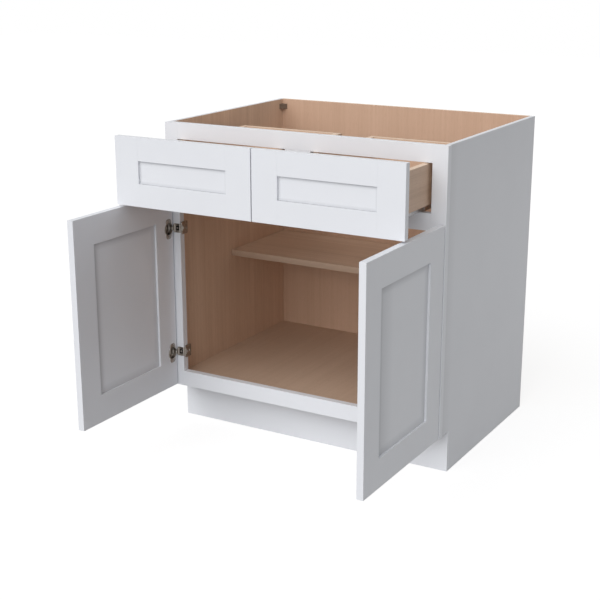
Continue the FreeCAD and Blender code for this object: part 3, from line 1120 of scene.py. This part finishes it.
@dataclass
class Carcass:
    """Side panels, back, floor, shelf, face frame, toe board and corner braces.

    Attributes:
        panel_arris: edge softening of plywood panels, in metres.
        frame_arris: edge softening of the painted face frame, in metres.
        fitting_arris: edge softening of small fittings, in metres.
    """

    panel_arris: float = 0.0004
    frame_arris: float = 0.0004
    fitting_arris: float = 0.0003

    FACE_FRAME = ("left_stile", "right_stile", "top_rail", "drawer_rail", "bottom_rail", "drawer_mullion",
                  "toe_kick_board")
    BACK_DARK = (0.531, 0.344, 0.2365)
    BACK_LIGHT = (0.613, 0.412, 0.295)
    # The floor's plywood is darker than the back's: partly its own tone, partly painted shade on the cupboard
    # floor
    BOTTOM_DARK = (0.525, 0.373, 0.27)
    BOTTOM_LIGHT = (0.6, 0.44, 0.33)
    # The side panels' bare plywood is lighter than the back's and the floor's: partly its own tone, partly
    # painted light on the cupboard's inner walls
    SIDE_DARK = (0.61, 0.42, 0.297)
    SIDE_LIGHT = (0.77, 0.565, 0.425)
    BAND_DARK = (0.47, 0.33, 0.237)
    BAND_LIGHT = (0.53, 0.38, 0.277)
    BAND_PLIES = 1

    def dress(self, paint: bpy.types.Material, nickel: bpy.types.Material) -> None:
        """Dresses the fixed pieces.

        Args:
            paint: the cabinet's paint.
            nickel: the plating of the shelf pins.
        """
        for node in self.FACE_FRAME:
            Joinery.dress(node, paint, self.frame_arris)
        woods = {
            "back_panel": Wood("back_wood", board=Board.of("back_panel", Axis.UPRIGHT, Axis.DEPTH),
                               dark=self.BACK_DARK, light=self.BACK_LIGHT),
            "bottom_panel": Wood("bottom_wood", board=Board.of("bottom_panel", Axis.DEPTH, Axis.UPRIGHT),
                                 dark=self.BOTTOM_DARK, light=self.BOTTOM_LIGHT),
            "half_shelf": Wood("shelf_wood", board=Board.of("half_shelf", Axis.ACROSS, Axis.UPRIGHT),
                               plies=self.BAND_PLIES, ply_light=self.BAND_LIGHT, ply_dark=self.BAND_DARK),
        }
        for node, wood in woods.items():
            Joinery.dress(node, wood.material(), self.panel_arris)
        for side in Side:
            node = side.value + "_side_panel"
            wood = Wood(node + "_wood", board=Board.of(node, Axis.UPRIGHT, Axis.ACROSS),
                        dark=self.SIDE_DARK, light=self.SIDE_LIGHT)
            Joinery.dress(node, PaintedPanel.of(node, wood).material(), self.panel_arris)
        Joinery.dress("shelf_pins", nickel, self.fitting_arris)
        Joinery.dress("corner_braces", Plastic("brown_plastic").material(), self.fitting_arris)


@dataclass
class Drawer:
    """One drawer: its plywood box and its framed front.

    Attributes:
        side: the side of the cabinet.
        box_arris: edge softening of the box, in metres.
        front_arris: edge softening of the front, in metres.
        line: how wide the painted shade round the front's panel is, in metres.
        panel_shade_share: how strongly it shows.
    """

    side: Side
    box_arris: float = 0.0006
    front_arris: float = 0.0004
    line: float = 0.008
    panel_shade_share: float = 0.30

    EDGE_DARK = (0.72, 0.53, 0.39)
    EDGE_LIGHT = (0.88, 0.70, 0.545)
    EDGE_PLIES = 9
    BOX = {
        "box_inner_side": (Axis.DEPTH, Axis.ACROSS),
        "box_outer_side": (Axis.DEPTH, Axis.ACROSS),
        "box_front": (Axis.ACROSS, Axis.DEPTH),
        "box_back": (Axis.ACROSS, Axis.DEPTH),
        "box_floor": (Axis.DEPTH, Axis.UPRIGHT),
    }
    FRONT = ("left_stile", "right_stile", "top_rail")

    def dress(self, paint: bpy.types.Material) -> None:
        """Dresses the box in wood and the front in paint.

        Args:
            paint: the cabinet's paint.
        """
        for piece, (grain, thick) in self.BOX.items():
            node = f"{self.side.value}_{piece}"
            wood = Wood(node + "_wood", board=Board.of(node, grain, thick), plies=self.EDGE_PLIES,
                        ply_dark=self.EDGE_DARK, ply_light=self.EDGE_LIGHT)
            Joinery.dress(node, wood.material(), self.box_arris)
        for piece in self.FRONT:
            Joinery.dress(f"{self.side.value}_drawer_front_{piece}", paint, self.front_arris)
        sill = self.side.value + "_drawer_front_bottom_rail"
        Joinery.dress(sill, SillPaint.of(sill).material(), self.front_arris)
        panel = self.side.value + "_drawer_front_panel"
        coat = PanelPaint.of(panel, Axis.DEPTH, line=self.line, panel_shade_share=self.panel_shade_share)
        Joinery.dress(panel, coat.material(), self.front_arris)


@dataclass
class Door:
    """One framed door.

    Attributes:
        side: the side of the cabinet.
        arris: edge softening, in metres.
        line: how wide the painted shade round the door's panel is, in metres.
        panel_shade_share: how strongly it shows.
    """

    side: Side
    arris: float = 0.0004
    line: float = 0.022
    panel_shade_share: float = 0.30

    BOARDS = ("hinge_stile", "free_stile", "top_rail", "bottom_rail")

    # How far the painted shade beside each door's front stile reaches, in metres, and how strongly it shows
    END_SHADES = {Side.LEFT: (0.030, 0.30), Side.RIGHT: (0.075, 0.28)}

    def dress(self, paint: bpy.types.Material) -> None:
        """Dresses the door's boards.

        Args:
            paint: the cabinet's paint.
        """
        for board in self.BOARDS:
            Joinery.dress(f"{self.side.value}_door_{board}", paint, self.arris)
        panel = self.side.value + "_door_panel"
        end_shade_reach, end_shade_share = self.END_SHADES[self.side]
        coat = PanelPaint.of(panel, Axis.ACROSS, line=self.line, panel_shade_share=self.panel_shade_share,
                             end_shade_reach=end_shade_reach, end_shade_share=end_shade_share)
        Joinery.dress(panel, coat.material(), self.arris)


@dataclass
class Slides:
    """The undermount slides and their rear brackets.

    Attributes:
        arris: edge softening of the sheet steel, in metres.
        bracket_arris: edge softening of the brackets, in metres.
    """

    arris: float = 0.0003
    bracket_arris: float = 0.001

    ZINC = Metal("zinc_steel", shade=(0.48, 0.475, 0.47), light=(0.70, 0.695, 0.69), sheen=0.42,
                 spangle_share=0.65, scratches=(900, 45, 900))
    GREY = Plastic("grey_plastic", shade=(0.36, 0.365, 0.37), light=(0.44, 0.445, 0.45))

    def dress(self) -> None:
        """Dresses the rails in zinc and the brackets in plastic."""
        zinc = self.ZINC.material()
        grey = self.GREY.material()
        rails = ["slide_cabinet_rails"]
        for side in Side:
            rails += [side.value + "_slide_middle_rails", side.value + "_slide_drawer_rails"]
        for node in rails:
            Joinery.dress(node, zinc, self.arris)
        Joinery.dress("slide_rear_brackets", grey, self.bracket_arris)


@dataclass(frozen=True)
class HingePlaces:
    """Where the hinges are, in metres, read from the right-hand solids, which the left ones mirror.

    Attributes:
        heights: the middles of the lower and upper hinges.
        door_face: how far out the open doors' inner faces lie.
        cup_y: the cups' middle along Y.
        cup_deep: how deep the cups sit in the door.
        pivot_out: how far out the pins stand.
        pivot_y: the pins' place along Y.
        frame_edge: how far out the stiles' inner edges are.
        frame_front: the face frame's front along Y.
        frame_back: its back along Y.
        plate_seat: how far out the plates' seats are.
        plate_y: the plates' middle along Y.
        plate_half_deep: half the plates' depth.
    """

    heights: tuple[float, float]
    door_face: float
    cup_y: float
    cup_deep: float
    pivot_out: float
    pivot_y: float
    frame_edge: float
    frame_front: float
    frame_back: float
    plate_seat: float
    plate_y: float
    plate_half_deep: float

    # How far the hinges' middles are from the ends of the door, in metres
    HINGE_END = 0.1

    @classmethod
    def read(cls) -> "HingePlaces":
        """Reads the places from the frame.

        Returns:
            The places.
        """
        door_low, door_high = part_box("right_door_hinge_stile")
        stile_low, stile_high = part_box("right_stile")
        cups_low, cups_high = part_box("right_hinge_cups")
        pins_low, pins_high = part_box("right_hinge_pins")
        plates_low, plates_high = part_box("hinge_plates")
        return cls(
            heights=(door_low[2] + cls.HINGE_END, door_high[2] - cls.HINGE_END),
            door_face=door_low[0], cup_y=(cups_low[1] + cups_high[1]) / 2,
            cup_deep=cups_high[0] - door_low[0],
            pivot_out=(pins_low[0] + pins_high[0]) / 2, pivot_y=(pins_low[1] + pins_high[1]) / 2,
            frame_edge=stile_low[0], frame_front=stile_low[1], frame_back=stile_high[1],
            plate_seat=plates_high[0], plate_y=(plates_low[1] + plates_high[1]) / 2,
            plate_half_deep=(plates_high[1] - plates_low[1]) / 2)


@dataclass
class Hinges:
    """The four cup hinges, built over the solids that they stand for. Lengths are in metres.

    Attributes:
        at: where the hinges are.
        cup_radius: the cups' radius.
        cup_wall: the cups' wall.
        flange_thick: the flanges' thickness.
        flange_radius: the flanges' ring radius.
        wing_half_long: half the flanges' height.
        wing_half_wide: half the flanges' width.
        flange_screws_apart: how far apart a flange's screws are.
        screw_radius: the flange screws' radius.
        screw_high: the flange screws' height.
        eye_radius: the arms' eye radius.
        eye_bore: the bore of the eye.
        eye_tall: the eye's height.
        arm_thick: the arms' sheet thickness.
        arm_tall: the arms' height on the frame.
        arm_neck: how far from the pin the neck's near face is.
        bend: the bend radius of the arms.
        plate_thick: the plates' thickness.
        plate_half_tall: half the plates' height.
        plate_corner: the plates' corner radius.
        plate_screw_radius: the plate screws' radius.
        plate_screw_high: their height.
        plate_screws_back: how far behind the frame's front they are.
        slot_plate_thick: the thickness of the near-black plates in the arms' slots, which stand in for the
            shade there.
        slot_screw_radius: the radius of the adjusting screws on those plates.
        slot_screw_high: their height.
    """

    at: HingePlaces
    cup_radius: float = 0.0175
    cup_wall: float = 0.0008
    flange_thick: float = 0.001
    flange_radius: float = 0.0185
    wing_half_long: float = 0.0285
    wing_half_wide: float = 0.012
    flange_screws_apart: float = 0.045
    screw_radius: float = 0.003
    screw_high: float = 0.0008
    eye_radius: float = 0.0025
    eye_bore: float = 0.00125
    eye_tall: float = 0.008
    arm_thick: float = 0.0013
    arm_tall: float = 0.026
    arm_neck: float = 0.01225
    bend: float = 0.0022
    plate_thick: float = 0.004
    plate_half_tall: float = 0.018
    plate_corner: float = 0.004
    plate_screw_radius: float = 0.004
    plate_screw_high: float = 0.0016
    plate_screws_back: tuple[float, float] = (0.011, 0.023)
    slot_plate_thick: float = 0.00065
    slot_screw_radius: float = 0.003
    slot_screw_high: float = 0.0006

    # Near black: real adjusting plates sit in the slots, but their colour is painted shade for the dark
    # inside the hinge
    SLOT_SHADE = Metal("slot_shade_steel", shade=(0.012, 0.012, 0.013), light=(0.035, 0.034, 0.033))

    # How many pieces round forms have, and the finer forms as shares of the sizes above
    EYE_STEPS = 32
    BEND_STEPS = 5
    PIN_ARRIS_SHARE = 0.25
    ARM_ARRIS_SHARE = 1 / 6
    ON_LIP_SHARE = 0.1
    WING_CORNER_SHARE = 0.7
    FLANGE_SOFT_SHARE = 0.4
    EYE_JOIN_SHARE = 0.8
    FLARE_SHARE = 0.8
    SLOT_SHARE = 0.46
    SLOT_HALF_SHARE = 0.28
    SLOT_CORNER_SHARE = 0.25
    SLOT_SOFT_SHARE = 1 / 3
    BESIDE_SLOT_SHARE = 0.62
    ROW_SHARES = (-1, -BESIDE_SLOT_SHARE, -SLOT_SHARE, SLOT_SHARE, BESIDE_SLOT_SHARE, 1)
    BOSS_DEEP_SHARE = 0.86
    BOSS_TALL_SHARE = 0.52
    STEP_SHARE = 0.6
    PLATE_SOFT_SHARE = 0.12

    @property
    def spots(self) -> list[tuple[Side, float]]:
        """The side and the height of every hinge."""
        return [(side, height) for side in Side for height in self.at.heights]

    @property
    def neck_out(self) -> float:
        """How far out the middle of the arms' neck is."""
        return self.at.pivot_out - self.arm_neck + self.arm_thick / 2

    @property
    def wrap_out(self) -> float:
        """How far out the middle of the arms' wrap is."""
        return self.at.frame_edge - self.arm_thick / 2

    @property
    def lip_y(self) -> float:
        """The middle of the arms' lip on the frame's front."""
        return self.at.frame_front - self.arm_thick / 2

    @property
    def slot(self) -> tuple[float, float]:
        """The middle and half length, along X, of the slot in the arms' lip."""
        return (self.neck_out + self.wrap_out) / 2, abs(self.neck_out - self.wrap_out) * self.SLOT_HALF_SHARE

    def on_lip(self, point: tuple[float, float, float]) -> bool:
        """Tells whether a point of the arm's line lies on its lip."""
        return abs(point[1] - self.lip_y) < self.arm_thick * self.ON_LIP_SHARE

    def build(self, nickel: bpy.types.Material) -> None:
        """Builds every hinge piece.

        Args:
            nickel: the plating.
        """
        pieces = []
        for side in Side:
            hinge = side.value + "_hinge"
            door = side.value + "_door"
            pieces += [
                (hinge + "_cup_pressings", self.cups(side), nickel, door, hinge + "_cups"),
                (hinge + "_flange_screws", self.flange_screws(side), nickel, door, hinge + "_cup_screws"),
            ]
            Joinery.dress(hinge + "_pins", nickel, self.cup_wall * self.PIN_ARRIS_SHARE)
        arms = "hinge_arm_pressings"
        slot_shade = self.SLOT_SHADE.material()
        pieces += [
            (arms, self.arms(), nickel, "carcass", "hinge_arms"),
            ("hinge_slot_plates", self.slot_plates(), slot_shade, "carcass", "hinge_arms"),
            ("hinge_slot_screws", self.slot_screws(), nickel, "carcass", "hinge_arms"),
            ("hinge_plate_castings", self.plates(), nickel, "carcass", "hinge_plates"),
            ("hinge_plate_cross_screws", self.plate_screws(), nickel, "carcass", "hinge_plate_screws"),
        ]
        made = {piece[0]: Joinery.piece(*piece, Slot.NICKEL) for piece in pieces}
        Joinery.soften(made[arms], self.arm_thick * self.ARM_ARRIS_SHARE)

    def cups(self, side: Side) -> bmesh.types.BMesh:
        """Shapes one door's two cups with their flanges.

        Args:
            side: the door's side.

        Returns:
            The cups' mesh.
        """
        mouth = self.cup_radius - self.cup_wall
        curve = 2 * self.cup_wall
        floor = self.cup_wall - self.at.cup_deep
        wings = rounded_box_outline(self.wing_half_wide, self.wing_half_long,
                                    self.wing_half_wide * self.WING_CORNER_SHARE)
        rim = larger_outline(round_outline(self.flange_radius), wings)
        soft = self.flange_thick * self.FLANGE_SOFT_SHARE
        outside = [(self.cup_radius - curve, -self.at.cup_deep), (self.cup_radius, curve - self.at.cup_deep),
                   (self.cup_radius, 0)]
        inside = [(mouth + soft, self.flange_thick), (mouth, self.flange_thick - soft),
                  (mouth, floor + curve), (mouth - curve, floor)]
        cup = [*round_loops(outside), *softened(rim, 0, self.flange_thick, soft), *round_loops(inside)]
        return repeated(cup, [inward_place(side, self.at.door_face, self.at.cup_y, height)
                              for height in self.at.heights])

    def flange_screws(self, side: Side) -> bmesh.types.BMesh:
        """Shapes one door's flange screws.

        Args:
            side: the door's side.

        Returns:
            The screws' mesh.
        """
        seat = self.at.door_face - self.flange_thick
        reach = self.flange_screws_apart / 2
        places = [inward_place(side, seat, self.at.cup_y, height + way)
                  for height in self.at.heights for way in (-reach, reach)]
        return repeated(pan_head(self.screw_radius, self.screw_high), places)

    def arm_line(self) -> list[tuple[float, float, float]]:
        """Gives the arm's bent line as distance out, Y, and half height.

        Returns:
            The points of the line from the eye to the end of the wrap.
        """
        corners = [Vector(corner) for corner in (
            (self.at.pivot_out - self.eye_radius * self.EYE_JOIN_SHARE, self.at.pivot_y),
            (self.neck_out, self.at.pivot_y), (self.neck_out, self.lip_y),
            (self.wrap_out, self.lip_y), (self.wrap_out, self.at.frame_back))]
        line = rounded_line(corners, self.bend, self.BEND_STEPS)
        flare_start = (corners[0] - corners[1]).length
        flare_long = (corners[1] - corners[2]).length * self.FLARE_SHARE
        slim = self.eye_tall / 2
        wide = self.arm_tall / 2
        so_far = 0
        flared = []
        for before, point in zip([line[0], *line], line):
            so_far += (point - before).length
            share = min(max((so_far - flare_start) / flare_long, 0), 1)
            flared.append((point.x, point.y, slim + (wide - slim) * eased(share)))
        return flared

    def arms(self) -> bmesh.types.BMesh:
        """Shapes the four bent arms with their eyes and slots.

        Returns:
            The arms' mesh.
        """
        mesh = bmesh.new()
        line = self.arm_line()
        lip_mid, slot_half = self.slot
        dense = []
        for near, far in zip(line, line[1:]):
            dense.append(near)
            for edge in (lip_mid + slot_half, lip_mid - slot_half):
                if self.on_lip(near) and self.on_lip(far) and near[0] > edge > far[0]:
                    dense.append((edge, self.lip_y, near[2]))
        dense.append(line[-1])
        half = self.eye_tall / 2
        ring = round_loops([(self.eye_radius, -half), (self.eye_radius, half), (self.eye_bore, half),
                            (self.eye_bore, -half)])
        for side, height in self.spots:
            self.thicken(self.arm_sheet(side, height, dense), mesh)
            eye = Matrix.Translation((side.sign * self.at.pivot_out, self.at.pivot_y, height))
            turned(mesh, ring, eye, self.EYE_STEPS, ring=True)
        return mesh

    def arm_sheet(self, side: Side, height: float,
                  line: Sequence[tuple[float, float, float]]) -> bmesh.types.BMesh:
        """Shapes the middle surface of one arm, with a slot left open in its lip.

        Args:
            side: the side of the cabinet.
            height: the hinge's middle.
            line: the arm's bent line.

        Returns:
            The surface.
        """
        mesh = bmesh.new()
        columns = [[mesh.verts.new((side.sign * out, y, height + share * half)) for share in self.ROW_SHARES]
                   for out, y, half in line]
        rows = range(len(self.ROW_SHARES) - 1)
        slot_row = len(rows) // 2
        slot_mid, slot_half = self.slot
        for index, (near, far) in enumerate(zip(columns, columns[1:])):
            out = (line[index][0] + line[index + 1][0]) / 2
            on_lip = self.on_lip(line[index]) and self.on_lip(line[index + 1])
            open_slot = on_lip and abs(out - slot_mid) < slot_half
            for row in rows:
                if not (open_slot and row == slot_row):
                    mesh.faces.new((near[row], far[row], far[row + 1], near[row + 1]))
        return mesh

    def slot_plates(self) -> bmesh.types.BMesh:
        """Shapes the four adjusting plates that are seen through the arms' slots, near black as painted shade
        in the slots.

        Returns:
            The plates' mesh.
        """
        middle, half = self.slot
        rim = rounded_box_outline(half, self.arm_tall * self.SLOT_SHARE / 2,
                                  self.plate_corner * self.SLOT_CORNER_SHARE)
        loops = softened(rim, 0, self.slot_plate_thick, self.slot_plate_thick * self.SLOT_SOFT_SHARE)
        return repeated(loops, [forward_place(side.sign * middle, self.at.frame_front, height)
                                for side, height in self.spots])

    def slot_screws(self) -> bmesh.types.BMesh:
        """Shapes the adjusting screws in the middle of the slot plates.

        Returns:
            The screws' mesh.
        """
        seat = self.at.frame_front - self.slot_plate_thick
        places = [forward_place(side.sign * self.slot[0], seat, height) for side, height in self.spots]
        return repeated(pan_head(self.slot_screw_radius, self.slot_screw_high), places)

    def thicken(self, sheet: bmesh.types.BMesh, mesh: bmesh.types.BMesh) -> None:
        """Gives a middle surface its thickness and adds it to a mesh.

        Args:
            sheet: the middle surface, which is used up.
            mesh: the mesh that gets the solid sheet.
        """
        bmesh.ops.recalc_face_normals(sheet, faces=sheet.faces)
        sheet.normal_update()
        for vert in sheet.verts:
            flat = vert.normal * (self.arm_thick / 2)
            vert.co -= flat * vert.calc_shell_factor()
        bmesh.ops.solidify(sheet, geom=list(sheet.faces), thickness=-self.arm_thick)
        joined = mesh_data("arm_sheet", sheet)
        mesh.from_mesh(joined)
        bpy.data.meshes.remove(joined)

    def plates(self) -> bmesh.types.BMesh:
        """Shapes the four plates with a raised middle.

        Returns:
            The plates' mesh.
        """
        rim = rounded_box_outline(self.at.plate_half_deep, self.plate_half_tall, self.plate_corner)
        boss = rounded_box_outline(self.at.plate_half_deep * self.BOSS_DEEP_SHARE,
                                   self.plate_half_tall * self.BOSS_TALL_SHARE, self.plate_corner)
        step = self.plate_thick * self.STEP_SHARE
        soft = self.plate_thick * self.PLATE_SOFT_SHARE
        loops = [*softened(rim, 0, step, soft), *softened(boss, step, self.plate_thick, soft)]
        return repeated(loops, [inward_place(side, self.at.plate_seat, self.at.plate_y, height)
                                for side, height in self.spots])

    def plate_screws(self) -> bmesh.types.BMesh:
        """Shapes the plates' fixing and adjusting screws.

        Returns:
            The screws' mesh.
        """
        seat = self.at.plate_seat - self.plate_thick
        places = [inward_place(side, seat, self.at.frame_front + back, height)
                  for side, height in self.spots for back in self.plate_screws_back]
        return repeated(pan_head(self.plate_screw_radius, self.plate_screw_high), places)


@dataclass
class Studio:
    """The floor, the light and the camera. Lengths are in metres, angles in degrees.

    Attributes:
        camera_place: where the camera stands.
        yaw: how far it looks to the left of straight ahead.
        pitch: how far it looks down.
        roll: how far it leans.
        focal_pixels: the focal length, in pixels of a picture of the photo's size.
        picture_pixels: the picture's side, in pixels.
        sensor: the sensor's side, in millimetres.
        floor_half: half the floor's side.
        floor_drop: how far the floor lies under the cabinet.
        key_turn: how far left of the front the key light stands.
        key_rise: how high it stands.
        key_spread: how wide it is, as an angle.
        key_strength: its strength.
        sky_strength: the strength of the even light from all round.
    """

    camera_place: tuple[float, float, float] = (1.57653, -2.76644, 1.34259)
    yaw: float = 30.4288
    pitch: float = 16.4115
    roll: float = -0.107
    focal_pixels: float = 1208.378
    picture_pixels: float = 600
    sensor: float = 36
    floor_half: float = 12
    floor_drop: float = 0.0006
    key_turn: float = 6
    key_rise: float = 36
    key_spread: float = 68
    key_strength: float = 2.38
    sky_strength: float = 0.36

    FLOOR_BOUNCE = (0.38, 0.38, 0.38)
    FLOOR_SHADOWED = (0.30, 0.30, 0.30)
    FLOOR_GLOW = 0.80
    FLOOR_CELLS = 4
    WHITE = (1, 1, 1)

    def build(self) -> None:
        """Builds the whole studio."""
        self.camera()
        self.key()
        self.sky()
        self.floor()

    def camera(self) -> None:
        """Places the camera as the photo was taken."""
        yaw, pitch, roll = (math.radians(angle) for angle in (self.yaw, self.pitch, self.roll))
        level = Vector((math.cos(yaw), math.sin(yaw), 0))
        ahead = Vector((-math.sin(yaw) * math.cos(pitch), math.cos(yaw) * math.cos(pitch), -math.sin(pitch)))
        rise = level.cross(ahead)
        right = level * math.cos(roll) + rise * math.sin(roll)
        up = rise * math.cos(roll) - level * math.sin(roll)
        lens = bpy.data.cameras.new("camera")
        lens.sensor_width = self.sensor
        lens.lens = self.sensor * self.focal_pixels / self.picture_pixels
        camera = placed("camera", lens)
        turn = Matrix((right, up, -ahead)).transposed()
        camera.matrix_world = Matrix.Translation(self.camera_place) @ turn.to_4x4()
        bpy.context.scene.camera = camera

    def key(self) -> None:
        """Hangs one wide soft light in front."""
        lamp = bpy.data.lights.new("key", "SUN")
        lamp.energy = self.key_strength
        lamp.angle = math.radians(self.key_spread)
        light = placed("key", lamp)
        turn = math.radians(self.key_turn)
        rise = math.radians(self.key_rise)
        away = Vector((-math.sin(turn) * math.cos(rise), -math.cos(turn) * math.cos(rise), math.sin(rise)))
        light.rotation_euler = away.to_track_quat("Z", "Y").to_euler()

    def seen(self, shader: Shader) -> Signal:
        """Tells the rays that show the surroundings to the camera, in mirrors or through glass too.

        Args:
            shader: the nodes of the floor or of the world.

        Returns:
            1 for those rays and 0 for others.
        """
        path = shader.node("ShaderNodeLightPath")
        rays = [Signal(shader, path.outputs[name])
                for name in ("Is Camera Ray", "Is Glossy Ray", "Is Transmission Ray")]
        return (rays[0] + rays[1] + rays[2]).within(0, 1)

    def sky(self) -> None:
        """Lights the cabinet evenly and shows white behind it."""
        world = bpy.data.worlds.new("studio")
        bpy.context.scene.world = world
        shader = Shader(world)
        strength = self.sky_strength + self.seen(shader) * (1 - self.sky_strength)
        light = shader.node("ShaderNodeBackground", {}, {"Color": self.WHITE, "Strength": strength})
        shader.node("ShaderNodeOutputWorld", {}, {"Surface": light.outputs["Background"]})

    def floor(self) -> None:
        """Lays a pale floor that keeps the cabinet's shadow."""
        mesh = bmesh.new()
        bmesh.ops.create_grid(mesh, x_segments=self.FLOOR_CELLS, y_segments=self.FLOOR_CELLS,
                              size=self.floor_half)
        data = mesh_data("studio_floor", mesh)
        floor = placed("studio_floor", data)
        floor.location.z = -self.floor_drop
        material = bpy.data.materials.new("studio_floor")
        shader = Shader(material)
        bounce = shader.node("ShaderNodeBsdfDiffuse", {}, {"Color": self.FLOOR_BOUNCE})
        shadowed = shader.node("ShaderNodeBsdfDiffuse", {}, {"Color": self.FLOOR_SHADOWED})
        glow = shader.node("ShaderNodeEmission", {}, {"Color": self.WHITE, "Strength": self.FLOOR_GLOW})
        shown = shader.node("ShaderNodeAddShader", {}, {"Shader": shadowed.outputs["BSDF"],
                                                        "Shader_001": glow.outputs["Emission"]})
        mixed = shader.node("ShaderNodeMixShader", {}, {
            "Fac": self.seen(shader), "Shader": bounce.outputs["BSDF"],
            "Shader_001": shown.outputs["Shader"]})
        shader.node("ShaderNodeOutputMaterial", {}, {"Surface": mixed.outputs["Shader"]})
        data.materials.append(material)


def main() -> None:
    """Builds the studio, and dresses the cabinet."""
    logging.basicConfig(level=logging.INFO, format="%(name)s: %(message)s")
    bpy.context.scene.view_settings.view_transform = "Standard"
    Studio().build()
    paint = Paint("white_paint").material()
    nickel = Metal("nickel").material()
    Carcass().dress(paint, nickel)
    for side in Side:
        Drawer(side).dress(paint)
        Door(side).dress(paint)
    Slides().dress()
    Hinges(HingePlaces.read()).build(nickel)


if __name__ == "__main__":
    main()
